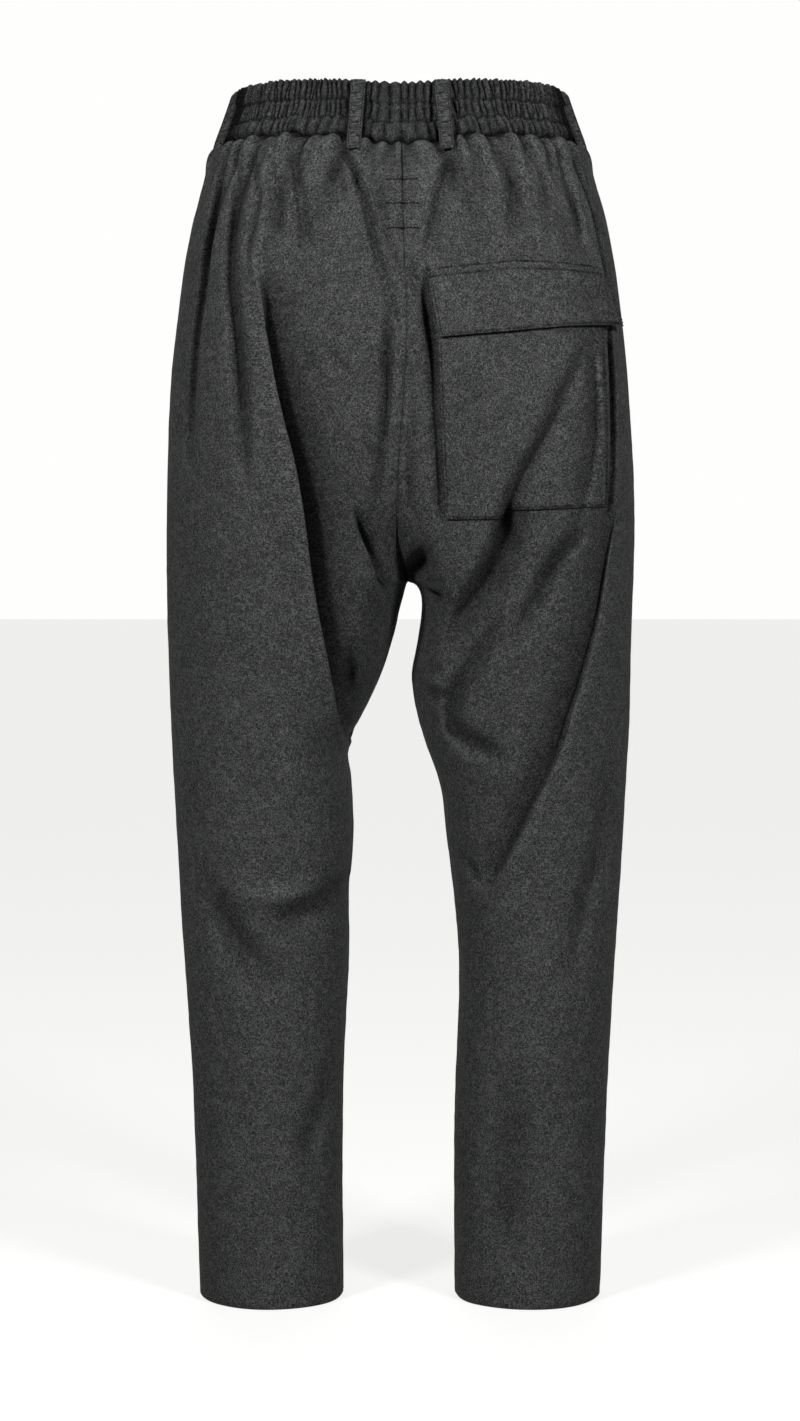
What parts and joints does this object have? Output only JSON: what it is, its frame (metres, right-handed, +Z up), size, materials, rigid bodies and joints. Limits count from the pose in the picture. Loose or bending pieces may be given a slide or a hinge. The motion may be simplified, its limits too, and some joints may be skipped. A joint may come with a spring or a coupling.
{
  "type": "harem pants",
  "caption": "Drop-crotch tapered trousers in charcoal wool flannel with a gathered elastic waistband, belt loops and a flapped patch pocket behind.",
  "frame": {"origin": "middle of the waist, halfway up the waistband at the sides, where the wearer's waist holds the garment", "axes": "+Z up, towards the waistband's top edge; +Y towards the wearer's front; +X towards the wearer's right side, where the back pocket is"},
  "size_m": [0.39, 0.2726, 1.0062],
  "materials": {
    "wool_flannel": "soft, matt, brushed flannel with a mixed charcoal pile",
    "gathered_flannel": "the same flannel gathered over elastic in sewn channels"
  },
  "bodies": {
    "root": {"back_left": "wool_flannel", "back_right": "wool_flannel", "front_left": "wool_flannel", "front_right": "wool_flannel", "waistband": "gathered_flannel", "belt_loop_back_left": "wool_flannel", "belt_loop_back_right": "wool_flannel", "belt_loop_side_left": "wool_flannel", "belt_loop_side_right": "wool_flannel", "belt_loop_front_left": "wool_flannel", "belt_loop_front_right": "wool_flannel", "back_pocket": "wool_flannel", "pocket_flap": "wool_flannel"}
  },
  "joints": []
}
